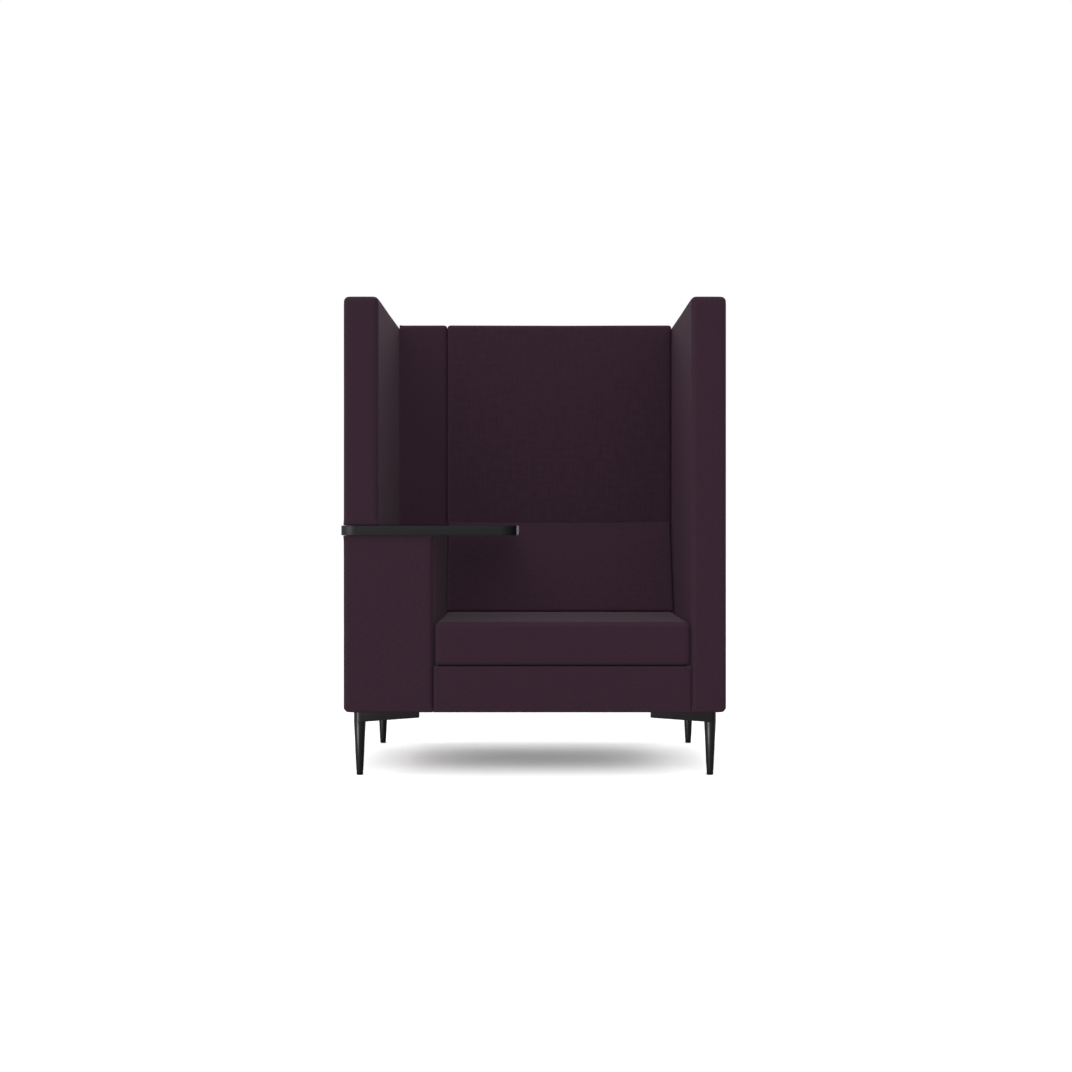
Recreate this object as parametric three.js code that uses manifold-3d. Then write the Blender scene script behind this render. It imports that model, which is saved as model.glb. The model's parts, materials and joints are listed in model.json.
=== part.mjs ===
// Acoustic high back lounge chair with a writing board over one arm.
// Millimetres, +Z up. The sitter looks towards -Y, and the arm with the board is at -X.
// The origin is on the floor, under the middle of the chair's outline.
import * as THREE from 'three';
import { mergeVertices } from 'three/addons/utils/BufferGeometryUtils.js';
import Module from 'manifold-3d';

const wasm = await Module();
wasm.setup();

// Upholstered shell
const shellWidth = 1100;
const shellDepth = 730;
const overallHeight = 1380;
const floorClearance = 185;
const panelThickness = 100;
const backThickness = 80;
const armWidth = 258;

// Seat and lumbar cushions
const seatHeight = 450;
const seatBaseHeight = 133;
const cushionGap = 3;
const lumbarRise = 13;
const lumbarDepth = 143;
const lumbarTopDepth = 26;

// Writing board
const boardTopHeight = 722;
const boardThickness = 28;
const boardWidth = 507;
const boardBackGap = 70;
const boardOverhang = 10;
const boardRearInset = 10;
const boardCornerRadius = 45;
const boardRearRadius = 20;
const boardEdgeBevel = 1.5;

// Upholstery build-up
const coverThickness = 2;
const foamThickness = 18;
const panelRadius = 15;
const backRadius = 10;
const seatRadius = 12;
const baseRadius = 8;
const lumbarRadius = 12;
const topCrown = 3;
const seatCrown = 4;
const seatDrawIn = 2;
const lumbarCrown = 5;
const coverSlotWidth = 12;
const coverSlotMargin = 60;
const zipSlotWidth = 8;

// Timber frames
const stileWidth = 40;
const railHeight = 60;
const carcassWall = 45;
const carcassTop = 22;

// Seat webbing and dust cover
const strapWidth = 60;
const strapThickness = 3;
const strapCount = 4;
const strapEndMargin = 6;
const dustCoverThickness = 1.5;
const dustCoverMargin = 34;

// Legs, brackets and glides
const legInset = 42.5;
const legTopRadius = 17;
const legBottomRadius = 10.2;
const legChamfer = 1;
const spigotRadius = 5;
const spigotLength = 24;
const bracketHeight = 30;
const bracketEndHeight = 18;
const bracketReach = 172.5;
const bracketEndWidth = 24;
const bracketEndRadius = 4;
const bracketInnerRadius = 20;
const glideHeight = 12;
const glideRadius = 9.8;
const glideEdge = 3;
const glideStemRadius = 4;
const glideTravel = 10;
const glideGrip = 20;

// Fasteners
const screwAcrossDistance = 120;
const screwAlongDistance = 110;
const screwShankRadius = 3;
const screwHeadRadius = 6;
const screwHeadHeight = 3.5;
const screwBite = 32;
const screwTip = 3;
const screwCrownShare = 0.7;
const screwSeatThickness = 8;
const boltRadius = 4;
const boltLength = 100;
const boltChamfer = 1;
const boltLowHeight = 225;
const boltMidHeight = 450;
const boltTopInset = 230;
const boltInset = 40;
const studLength = 140;
const studFrontInset = 110;
const studMiddleInset = 500;

// Fits
const clearance = 0.3;
const overrun = 5;

// Facets round turned pieces and on padded edges
const rodSides = 8;
const legSides = 16;
const outerArcSteps = 2;
const innerArcSteps = 1;
const wideArcSteps = 6;
const smallArcSteps = 4;
const endArcSteps = 2;

// Places worked out from the sizes above
const shellLeft = boardOverhang - (shellWidth + boardOverhang) / 2;
const shellRight = shellLeft + shellWidth;
const shellFront = boardOverhang - (shellDepth + boardOverhang) / 2;
const shellBack = shellFront + shellDepth;
const armRight = shellLeft + armWidth;
const leftPanelRight = shellLeft + panelThickness;
const seatRight = shellRight - panelThickness;
const backFront = shellBack - backThickness;
const boardBottom = boardTopHeight - boardThickness;
const armTop = boardBottom - clearance;
const upperBottom = boardTopHeight + clearance;
const seatBaseTop = floorClearance + seatBaseHeight;
const bracketTop = floorClearance - clearance;
const bracketBottom = bracketTop - bracketHeight;
const frameInset = coverThickness + foamThickness + 2 * clearance;
const frameRise = coverThickness + clearance;
const boltBackLine = shellBack - boltInset;
const boltHighHeight = overallHeight - boltTopInset;
const glideStemLength = glideTravel + glideGrip;

const finishes = {
  plumFabric: { color: 0x392933, roughness: 0.95, metalness: 0 },
  foam: { color: 0xc9c3b4, roughness: 1, metalness: 0 },
  timber: { color: 0xb58f62, roughness: 0.7, metalness: 0 },
  blackBoard: { color: 0x1d1c1d, roughness: 0.45, metalness: 0 },
  blackMetal: { color: 0x1b1b1c, roughness: 0.5, metalness: 0.6 },
  blackPlastic: { color: 0x141414, roughness: 0.6, metalness: 0 },
  zincSteel: { color: 0x9a9da0, roughness: 0.4, metalness: 0.9 },
  webbing: { color: 0x4a4038, roughness: 0.95, metalness: 0 },
  liningCloth: { color: 0x161616, roughness: 1, metalness: 0 },
};

const chair = new THREE.Group();

function addPiece(name, geometry, finish) {
  const mesh = new THREE.Mesh(geometry, new THREE.MeshStandardMaterial(finish));
  mesh.name = name;
  chair.add(mesh);
}

// Geometry to solid and back, for joins and cuts
function solidFrom(geometry) {
  const bare = geometry.clone();
  bare.deleteAttribute('normal');
  bare.deleteAttribute('uv');
  const merged = mergeVertices(bare);
  const vertProperties = new Float32Array(merged.attributes.position.array);
  const triVerts = new Uint32Array(merged.index.array);
  return new wasm.Manifold(new wasm.Mesh({ numProp: 3, vertProperties, triVerts }));
}

function geometryFrom(solid) {
  const mesh = solid.getMesh();
  const geometry = new THREE.BufferGeometry();
  geometry.setAttribute('position', new THREE.BufferAttribute(mesh.vertProperties, mesh.numProp));
  geometry.setIndex(new THREE.BufferAttribute(mesh.triVerts, 1));
  return geometry;
}

function boxGeometry(low, high) {
  const size = high.map((value, axis) => value - low[axis]);
  const geometry = new THREE.BoxGeometry(...size);
  return geometry.translate(...low.map((value, axis) => value + size[axis] / 2));
}

function boxSolid(low, high) {
  return solidFrom(boxGeometry(low, high));
}

function grown(low, high, amount) {
  return [low.map((value) => value - amount), high.map((value) => value + amount)];
}

// A turned piece: the profile is pairs of radius and height, and the axis runs from place along direction
function turned(profile, sides, place, direction) {
  const points = profile.map(([radius, height]) => new THREE.Vector2(radius, height));
  const geometry = new THREE.LatheGeometry(points, sides);
  const turn = new THREE.Quaternion().setFromUnitVectors(new THREE.Vector3(0, 1, 0), direction);
  return geometry.applyQuaternion(turn).translate(...place);
}

// Bores: every piece that a bolt, stud or screw passes through is cut with a clear hole for it
const bores = [];
const along = {
  x: new THREE.Vector3(1, 0, 0),
  z: new THREE.Vector3(0, 0, 1),
};

function addBore(radius, length, place, direction) {
  const wide = radius + clearance;
  const profile = [[0, -clearance], [wide, -clearance], [wide, length + clearance], [0, length + clearance]];
  bores.push(solidFrom(turned(profile, rodSides, place, direction)));
}

function meets(one, other) {
  return [0, 1, 2].every((axis) => one.min[axis] < other.max[axis] && other.min[axis] < one.max[axis]);
}

function bored(solid) {
  const box = solid.boundingBox();
  return bores
    .filter((bore) => meets(box, bore.boundingBox()))
    .reduce((left, bore) => left.subtract(bore), solid);
}

// Grid lines across one axis of a padded block: arc lines at both ends, even cells between them
function gridLines(half, radius, arcSteps, cells) {
  const flat = half - radius;
  const arcs = Array.from({ length: arcSteps }, (_, step) => {
    const angle = ((arcSteps - step) * Math.PI) / (4 * arcSteps);
    return flat + radius * Math.tan(angle);
  });
  const middle = Array.from({ length: cells + 1 }, (_, cell) => flat * ((2 * cell) / cells - 1));
  return [...arcs.map((line) => -line), ...middle, ...arcs.reverse()];
}

// A padded block: its edges are rounded, its faces swell by their crown, and a negative crown draws them in.
// The spec's low and high corners are the reach of the swollen faces. An inset gives the layer under it.
function paddedGeometry(spec, inset, arcSteps, cells) {
  const crownLow = spec.crownLow ?? [0, 0, 0];
  const crownHigh = spec.crownHigh ?? [0, 0, 0];
  const low = spec.low.map((value, axis) => value + Math.max(crownLow[axis], 0));
  const high = spec.high.map((value, axis) => value - Math.max(crownHigh[axis], 0));
  const middle = low.map((value, axis) => (value + high[axis]) / 2);
  const core = low.map((value, axis) => (high[axis] - value) / 2 - spec.radius);
  const radius = spec.radius - inset;
  const lines = core.map((half, axis) => gridLines(half + radius, radius, arcSteps, cells[axis]));
  const counts = lines.map((line) => line.length - 1);
  const geometry = new THREE.BoxGeometry(1, 1, 1, ...counts);
  const position = geometry.attributes.position;
  for (let index = 0; index < position.count; index += 1) {
    const unit = [position.getX(index), position.getY(index), position.getZ(index)];
    const steps = unit.map((value, axis) => Math.round((value + 1 / 2) * counts[axis]));
    const grid = steps.map((step, axis) => lines[axis][step]);
    const held = grid.map((value, axis) => THREE.MathUtils.clamp(value, -core[axis], core[axis]));
    const out = new THREE.Vector3(...grid.map((value, axis) => value - held[axis])).setLength(radius);
    const fall = held.map((value, axis) => 1 - (value / core[axis]) ** 4);
    const swell = steps.map((step, axis) => {
      const share = fall[(axis + 1) % 3] * fall[(axis + 2) % 3];
      if (step === counts[axis]) return crownHigh[axis] * share;
      return step === 0 ? -crownLow[axis] * share : 0;
    });
    const placed = held.map((value, axis) => value + middle[axis]);
    if (spec.wedgeShare) {
      const riseShare = (held[2] + core[2]) / (2 * core[2]);
      const coreBack = middle[1] + core[1];
      placed[1] = coreBack - (coreBack - placed[1]) * (1 - riseShare * (1 - spec.wedgeShare));
    }
    const offset = out.toArray();
    position.setXYZ(index, ...placed.map((value, axis) => value + offset[axis] + swell[axis]));
  }
  return geometry;
}

function coverShell(spec, opening) {
  const outside = solidFrom(paddedGeometry(spec, 0, outerArcSteps, spec.cells));
  const inside = solidFrom(paddedGeometry(spec, coverThickness, innerArcSteps, spec.innerCells));
  return bored(outside.subtract(inside).subtract(opening));
}

function foamBlock(spec) {
  return solidFrom(paddedGeometry(spec, coverThickness + clearance, innerArcSteps, spec.innerCells));
}

// Where a module's timber frame lies: under the foam on all sides but the underside
function frameRoom(spec) {
  const crownHigh = spec.crownHigh ?? [0, 0, 0];
  const low = spec.low.map((value) => value + frameInset);
  low[2] = spec.low[2] + frameRise;
  const high = spec.high.map((value, axis) => value - frameInset - crownHigh[axis]);
  return [low, high];
}

// A slot in the underside of a cover, where it is drawn over the frame and stapled
function undersideSlot(spec) {
  const middle = spec.low.map((value, axis) => (value + spec.high[axis]) / 2);
  const longAxis = spec.high[0] - spec.low[0] > spec.high[1] - spec.low[1] ? 0 : 1;
  const shortAxis = 1 - longAxis;
  const low = [0, 0, spec.low[2] - overrun];
  const high = [0, 0, spec.low[2] + coverThickness + clearance];
  low[longAxis] = spec.low[longAxis] + coverSlotMargin;
  high[longAxis] = spec.high[longAxis] - coverSlotMargin;
  low[shortAxis] = middle[shortAxis] - coverSlotWidth / 2;
  high[shortAxis] = middle[shortAxis] + coverSlotWidth / 2;
  return boxSolid(low, high);
}

// A ladder frame: two stiles, a rail at the foot and the head, and one between them
function ladderFrame(spec, thinAxis, extra) {
  const [low, high] = frameRoom(spec);
  const wideAxis = 1 - thinAxis;
  const middle = (low[2] + high[2]) / 2;
  const bays = [
    [low[2] + railHeight, middle - railHeight / 2],
    [middle + railHeight / 2, high[2] - railHeight],
  ];
  return bays.reduce((left, [foot, head]) => {
    const bayLow = [0, 0, foot + extra];
    const bayHigh = [0, 0, head - extra];
    bayLow[thinAxis] = low[thinAxis] - overrun;
    bayHigh[thinAxis] = high[thinAxis] + overrun;
    bayLow[wideAxis] = low[wideAxis] + stileWidth + extra;
    bayHigh[wideAxis] = high[wideAxis] - stileWidth - extra;
    return left.subtract(boxSolid(bayLow, bayHigh));
  }, boxSolid(...grown(low, high, extra)));
}

// An upholstered panel: a ladder frame whose bays and faces are filled with foam, in a fabric cover
function addPanel(name, spec, thinAxis) {
  const frame = ladderFrame(spec, thinAxis, 0);
  const room = ladderFrame(spec, thinAxis, clearance);
  addPiece(`${name}_cover`, geometryFrom(coverShell(spec, undersideSlot(spec))), finishes.plumFabric);
  addPiece(`${name}_foam`, geometryFrom(bored(foamBlock(spec).subtract(room))), finishes.foam);
  addPiece(`${name}_frame`, geometryFrom(bored(frame)), finishes.timber);
}

// Side and back panels
const sidePanel = {
  radius: panelRadius,
  crownHigh: [0, 0, topCrown],
  cells: [2, 2, 1],
  innerCells: [2, 2, 1],
};
const rightPanel = {
  ...sidePanel,
  low: [seatRight, shellFront, floorClearance],
  high: [shellRight, shellBack, overallHeight],
};
const leftPanel = {
  ...sidePanel,
  low: [shellLeft, shellFront, upperBottom],
  high: [leftPanelRight, shellBack, overallHeight],
};
const cornerPanel = {
  ...sidePanel,
  radius: backRadius,
  low: [leftPanelRight + clearance, backFront, upperBottom],
  high: [armRight, shellBack, overallHeight],
};
const backPanel = {
  ...sidePanel,
  radius: backRadius,
  low: [armRight + clearance, backFront, floorClearance],
  high: [seatRight - clearance, shellBack, overallHeight],
};

// Arm block and seat base
const armBlock = {
  radius: panelRadius,
  low: [shellLeft, shellFront, floorClearance],
  high: [armRight, shellBack, armTop],
  cells: [1, 1, 1],
  innerCells: [1, 1, 1],
};
const seatBase = {
  radius: baseRadius,
  low: [armRight + clearance, shellFront, floorClearance],
  high: [seatRight - clearance, backFront - clearance, seatBaseTop],
  cells: [1, 1, 1],
  innerCells: [1, 1, 1],
};

// Cushions
const seatCushion = {
  radius: seatRadius,
  low: [armRight + cushionGap, shellFront, seatBaseTop + clearance],
  high: [seatRight - cushionGap, backFront - clearance, seatHeight],
  crownLow: [-seatDrawIn, seatDrawIn, 0],
  crownHigh: [-seatDrawIn, 0, seatCrown],
  cells: [6, 4, 2],
  innerCells: [4, 4, 1],
};
const lumbarCoreDepth = lumbarDepth - clearance - lumbarCrown - 2 * lumbarRadius;
const lumbarCushion = {
  radius: lumbarRadius,
  wedgeShare: (lumbarTopDepth - 2 * lumbarRadius) / lumbarCoreDepth,
  low: [armRight + cushionGap, backFront - lumbarDepth, seatHeight + clearance],
  high: [seatRight - cushionGap, backFront - clearance, boardTopHeight + lumbarRise],
  crownLow: [-seatDrawIn, lumbarCrown, 0],
  crownHigh: [-seatDrawIn, 0, 0],
  cells: [6, 2, 4],
  innerCells: [4, 1, 4],
};

// Leg corners: each has its place and the two ways that its bracket's wings run
const corners = [
  { name: 'front_left', x: shellLeft + legInset, y: shellFront + legInset, wayX: 1, wayY: 1 },
  { name: 'front_right', x: shellRight - legInset, y: shellFront + legInset, wayX: -1, wayY: 1 },
  { name: 'rear_left', x: shellLeft + legInset, y: shellBack - legInset, wayX: 1, wayY: -1 },
  { name: 'rear_right', x: shellRight - legInset, y: shellBack - legInset, wayX: -1, wayY: -1 },
];

// Bolts that hold neighbouring modules together, all along X across the seam between them
const seatBoltFront = shellFront + boltInset;
const seatBoltRear = backFront - boltInset;
const joiningBolts = [
  { name: 'joining_bolt_right_back_low', at: [seatRight, boltBackLine, boltMidHeight] },
  { name: 'joining_bolt_right_back_high', at: [seatRight, boltBackLine, boltHighHeight] },
  { name: 'joining_bolt_right_seat_front', at: [seatRight, seatBoltFront, boltLowHeight] },
  { name: 'joining_bolt_right_seat_rear', at: [seatRight, seatBoltRear, boltLowHeight] },
  { name: 'joining_bolt_arm_seat_front', at: [armRight, seatBoltFront, boltLowHeight] },
  { name: 'joining_bolt_arm_seat_rear', at: [armRight, seatBoltRear, boltLowHeight] },
  { name: 'joining_bolt_arm_back', at: [armRight, boltBackLine, boltMidHeight] },
  { name: 'joining_bolt_corner_back', at: [armRight, boltBackLine, boltHighHeight] },
  { name: 'joining_bolt_left_corner', at: [leftPanelRight, boltBackLine, boltHighHeight] },
];

// Studs that clamp the board between the arm and the panels that stand on it
const boardMiddle = boardTopHeight - boardThickness / 2;
const studLine = shellLeft + legInset;
const boardStuds = [
  { name: 'board_stud_front', at: [studLine, shellFront + studFrontInset, boardMiddle] },
  { name: 'board_stud_middle', at: [studLine, shellFront + studMiddleInset, boardMiddle] },
  { name: 'board_stud_corner', at: [(leftPanelRight + armRight) / 2, boltBackLine, boardMiddle] },
];

function rodProfile(length) {
  const tip = boltRadius - boltChamfer;
  return [
    [0, 0],
    [tip, 0],
    [boltRadius, boltChamfer],
    [boltRadius, length - boltChamfer],
    [tip, length],
    [0, length],
  ];
}

function addRods(rods, length, direction) {
  for (const rod of rods) {
    const start = new THREE.Vector3(...rod.at).addScaledVector(direction, -length / 2).toArray();
    addBore(boltRadius, length, start, direction);
    addPiece(rod.name, turned(rodProfile(length), rodSides, start, direction), finishes.zincSteel);
  }
}

// Screws that hold the brackets: their heads sit in counterbores in the wings
const screwStart = bracketTop - screwSeatThickness - screwHeadHeight;
const screwLength = floorClearance + frameRise + screwBite - screwStart;
const screwProfile = [
  [0, 0],
  [screwHeadRadius * screwCrownShare, 0],
  [screwHeadRadius, screwHeadHeight / 2],
  [screwHeadRadius, screwHeadHeight],
  [screwShankRadius, screwHeadHeight],
  [screwShankRadius, screwLength - screwTip],
  [0, screwLength],
];

function screwPlaces(corner) {
  return {
    across: [corner.x + corner.wayX * screwAcrossDistance, corner.y, screwStart],
    along: [corner.x, corner.y + corner.wayY * screwAlongDistance, screwStart],
  };
}

function addScrews(corner) {
  for (const [way, place] of Object.entries(screwPlaces(corner))) {
    addBore(screwShankRadius, screwLength, place, along.z);
    const screw = turned(screwProfile, rodSides, place, along.z);
    addPiece(`bracket_screw_${corner.name}_${way}`, screw, finishes.zincSteel);
  }
}

addRods(joiningBolts, boltLength, along.x);
addRods(boardStuds, studLength, along.z);
corners.forEach(addScrews);

addPanel('right_panel', rightPanel, 0);
addPanel('left_panel', leftPanel, 0);
addPanel('corner_panel', cornerPanel, 1);
addPanel('back_panel', backPanel, 1);

// Arm block: a timber carcass with a closed top, under foam and a fabric cover
function addArm() {
  const [low, high] = frameRoom(armBlock);
  const hollowLow = [low[0] + carcassWall, low[1] + carcassWall, low[2] - overrun];
  const hollowHigh = [high[0] - carcassWall, high[1] - carcassWall, high[2] - carcassTop];
  const frame = boxSolid(low, high).subtract(boxSolid(hollowLow, hollowHigh));
  const roomLow = [low[0] - clearance, low[1] - clearance, low[2] - overrun];
  const room = boxSolid(roomLow, high.map((value) => value + clearance));
  addPiece('arm_cover', geometryFrom(coverShell(armBlock, undersideSlot(armBlock))), finishes.plumFabric);
  addPiece('arm_foam', geometryFrom(bored(foamBlock(armBlock).subtract(room))), finishes.foam);
  addPiece('arm_frame', geometryFrom(bored(frame)), finishes.timber);
}
addArm();

// Seat base: a ring of rails with webbing across its top, under foam and a fabric cover
const [baseFrameLow, baseFrameHigh] = frameRoom(seatBase);
const strapLow = baseFrameLow[1] + strapEndMargin;
const strapHigh = baseFrameHigh[1] - strapEndMargin;
const strapPitch = (baseFrameHigh[0] - baseFrameLow[0] - 2 * carcassWall) / strapCount;
const strapTop = baseFrameHigh[2] - clearance;

function strapBox(index, extra) {
  const middle = baseFrameLow[0] + carcassWall + strapPitch * (index + 1 / 2);
  const low = [middle - strapWidth / 2 - extra, strapLow - extra, strapTop - strapThickness - extra];
  const high = [middle + strapWidth / 2 + extra, strapHigh + extra, strapTop + extra];
  return [low, high];
}

function dustCoverBox(extra) {
  const low = seatBase.low.map((value) => value + dustCoverMargin - extra);
  const high = seatBase.high.map((value) => value - dustCoverMargin + extra);
  high[2] = baseFrameLow[2] - clearance;
  low[2] = high[2] - dustCoverThickness;
  return [low, high];
}

function addSeatBase() {
  const hollowLow = baseFrameLow.map((value) => value + carcassWall);
  const hollowHigh = baseFrameHigh.map((value) => value - carcassWall);
  hollowLow[2] = baseFrameLow[2] - overrun;
  hollowHigh[2] = baseFrameHigh[2] + overrun;
  const ring = boxSolid(baseFrameLow, baseFrameHigh).subtract(boxSolid(hollowLow, hollowHigh));
  const straps = Array.from({ length: strapCount }, (_, index) => index);
  const frame = straps.reduce((left, index) => {
    const [low, high] = strapBox(index, clearance);
    high[2] += overrun;
    return left.subtract(boxSolid(low, high));
  }, ring);
  const roomLow = [baseFrameLow[0] - clearance, baseFrameLow[1] - clearance, baseFrameLow[2] - overrun];
  const room = boxSolid(roomLow, baseFrameHigh.map((value) => value + clearance));
  const [openingLow, openingHigh] = dustCoverBox(clearance);
  openingLow[2] = seatBase.low[2] - overrun;
  openingHigh[2] = seatBase.low[2] + coverThickness + clearance;
  const opening = boxSolid(openingLow, openingHigh);
  addPiece('seat_base_cover', geometryFrom(coverShell(seatBase, opening)), finishes.plumFabric);
  addPiece('seat_base_foam', geometryFrom(bored(foamBlock(seatBase).subtract(room))), finishes.foam);
  addPiece('seat_base_frame', geometryFrom(bored(frame)), finishes.timber);
  addPiece('dust_cover', geometryFrom(bored(boxSolid(...dustCoverBox(0)))), finishes.liningCloth);
  for (const index of straps) {
    addPiece(`webbing_strap_${index + 1}`, boxGeometry(...strapBox(index, 0)), finishes.webbing);
  }
}
addSeatBase();

// Loose cushions: foam in a cover whose zip runs along the back, where it doesn't show
function addCushion(name, spec) {
  const zipHeight = spec.low[2] + spec.radius + zipSlotWidth;
  const slotLow = [spec.low[0] + coverSlotMargin, spec.high[1] - coverThickness - overrun, zipHeight];
  const slotHigh = [spec.high[0] - coverSlotMargin, spec.high[1] + overrun, zipHeight + zipSlotWidth];
  addPiece(`${name}_cover`, geometryFrom(coverShell(spec, boxSolid(slotLow, slotHigh))), finishes.plumFabric);
  addPiece(`${name}_foam`, geometryFrom(foamBlock(spec)), finishes.foam);
}
addCushion('seat_cushion', seatCushion);
addCushion('lumbar_cushion', lumbarCushion);

// Points of an arc in the plan, from one angle to another in degrees
function arcPoints(x, y, radius, from, to, steps) {
  return Array.from({ length: steps + 1 }, (_, step) => {
    const angle = THREE.MathUtils.degToRad(from + ((to - from) * step) / steps);
    return new THREE.Vector2(x + radius * Math.cos(angle), y + radius * Math.sin(angle));
  });
}

// Writing board: it lies on the arm, runs on over the seat, and is notched round the back panel
function addBoard() {
  const left = shellLeft - boardOverhang + boardEdgeBevel;
  const right = left + boardWidth - 2 * boardEdgeBevel;
  const front = shellFront - boardOverhang + boardEdgeBevel;
  const seatRear = backFront - boardBackGap - boardEdgeBevel;
  const rear = shellBack - boardRearInset - boardEdgeBevel;
  const notch = armRight - boardEdgeBevel;
  const big = boardCornerRadius - boardEdgeBevel;
  const small = boardRearRadius - boardEdgeBevel;
  const hollow = boardRearRadius;
  const outline = [
    ...arcPoints(left + big, front + big, big, 180, 270, wideArcSteps),
    ...arcPoints(right - big, front + big, big, 270, 360, wideArcSteps),
    ...arcPoints(right - big, seatRear - big, big, 0, 90, wideArcSteps),
    ...arcPoints(notch + hollow, seatRear + hollow, hollow, 270, 180, smallArcSteps),
    ...arcPoints(notch - small, rear - small, small, 0, 90, smallArcSteps),
    ...arcPoints(left + small, rear - small, small, 90, 180, smallArcSteps),
  ];
  const geometry = new THREE.ExtrudeGeometry(new THREE.Shape(outline), {
    depth: boardThickness - 2 * boardEdgeBevel,
    bevelThickness: boardEdgeBevel,
    bevelSize: boardEdgeBevel,
    bevelSegments: 1,
  });
  geometry.translate(0, 0, boardBottom + boardEdgeBevel);
  addPiece('writing_board', geometryFrom(bored(solidFrom(geometry))), finishes.blackBoard);
}
addBoard();

// Corner bracket: a cast hub over the leg with two wings, whose undersides rise towards their ends
function bracketOutline() {
  const end = bracketReach;
  const outer = legTopRadius;
  const inner = bracketEndWidth - legTopRadius;
  const round = bracketEndRadius;
  const corner = legTopRadius + bracketInnerRadius;
  return [
    ...arcPoints(end - round, round - outer, round, 270, 360, endArcSteps),
    ...arcPoints(end - round, inner - round, round, 0, 90, endArcSteps),
    ...arcPoints(corner, corner, bracketInnerRadius, 270, 180, smallArcSteps),
    ...arcPoints(inner - round, end - round, round, 0, 90, endArcSteps),
    ...arcPoints(round - outer, end - round, round, 90, 180, endArcSteps),
    ...arcPoints(0, 0, outer, 180, 270, wideArcSteps),
  ];
}

function addBracket(corner) {
  const outline = bracketOutline().map(
    (point) => new THREE.Vector2(point.x * corner.wayX, point.y * corner.wayY),
  );
  const extrusion = { depth: bracketHeight, bevelEnabled: false };
  const geometry = new THREE.ExtrudeGeometry(new THREE.Shape(outline), extrusion);
  const position = geometry.attributes.position;
  for (let index = 0; index < position.count; index += 1) {
    if (position.getZ(index) > bracketHeight / 2) continue;
    const reach = Math.max(position.getX(index) * corner.wayX, position.getY(index) * corner.wayY, 0);
    position.setZ(index, ((bracketHeight - bracketEndHeight) * reach) / bracketReach);
  }
  geometry.translate(corner.x, corner.y, bracketBottom);
  const spigotHole = [
    [0, -overrun],
    [spigotRadius + clearance, -overrun],
    [spigotRadius + clearance, bracketHeight + overrun],
    [0, bracketHeight + overrun],
  ];
  const headHole = [
    [0, -bracketHeight],
    [screwHeadRadius + clearance, -bracketHeight],
    [screwHeadRadius + clearance, screwHeadHeight + clearance],
    [0, screwHeadHeight + clearance],
  ];
  const hubPlace = [corner.x, corner.y, bracketBottom];
  const holes = [
    turned(spigotHole, legSides, hubPlace, along.z),
    ...Object.values(screwPlaces(corner)).map((place) => turned(headHole, rodSides, place, along.z)),
  ].map(solidFrom);
  const solid = holes.reduce((left, hole) => left.subtract(hole), bored(solidFrom(geometry)));
  addPiece(`leg_bracket_${corner.name}`, geometryFrom(solid), finishes.blackMetal);
}

// Tapered leg: a spigot goes up into the bracket, and a bore at the foot takes the glide's stem
function addLeg(corner) {
  const foot = glideHeight + clearance;
  const head = bracketBottom - clearance;
  const boreRadius = glideStemRadius + clearance;
  const boreTop = glideHeight + glideStemLength + clearance;
  const profile = [
    [0, boreTop],
    [boreRadius, boreTop],
    [boreRadius, foot],
    [legBottomRadius - legChamfer, foot],
    [legBottomRadius, foot + legChamfer],
    [legTopRadius, head],
    [spigotRadius, head],
    [spigotRadius, head + spigotLength],
    [0, head + spigotLength],
  ];
  const leg = turned(profile, legSides, [corner.x, corner.y, 0], along.z);
  addPiece(`leg_${corner.name}`, leg, finishes.blackMetal);
}

// Levelling glide: a foot with a threaded stem, which screws out of the leg by its travel
function addGlide(corner) {
  const bevel = glideEdge * (1 - Math.SQRT1_2);
  const stemTop = glideHeight + glideStemLength;
  const profile = [
    [0, 0],
    [glideRadius - glideEdge, 0],
    [glideRadius - bevel, bevel],
    [glideRadius, glideEdge],
    [glideRadius, glideHeight],
    [glideStemRadius, glideHeight],
    [glideStemRadius, stemTop],
    [0, stemTop],
  ];
  const glide = turned(profile, legSides, [corner.x, corner.y, 0], along.z);
  addPiece(`glide_${corner.name}`, glide, finishes.blackPlastic);
}

for (const corner of corners) {
  addBracket(corner);
  addLeg(corner);
  addGlide(corner);
}

export default chair;
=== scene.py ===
# %% [markdown]
# A high back lounge chair, dressed in Blender
#
# The chair is an acoustic seat: tall upholstered panels at the sides and the back, a wide arm block that
# carries a black writing board, a seat cushion and a wedge cushion for the back, on four slim metal legs.
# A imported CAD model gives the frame, in metres. The sitter looks towards -Y, and +Z is up. Each step dresses
# some of its nodes, and no step moves one. The lesson goes from the camera and the light over the finishes
# to the pieces: covers, cushions, board, brackets, legs and feet.

# %% Load the frame
import json
import math
import bmesh
import bpy
import numpy as np
from mathutils import Matrix, Vector

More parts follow.
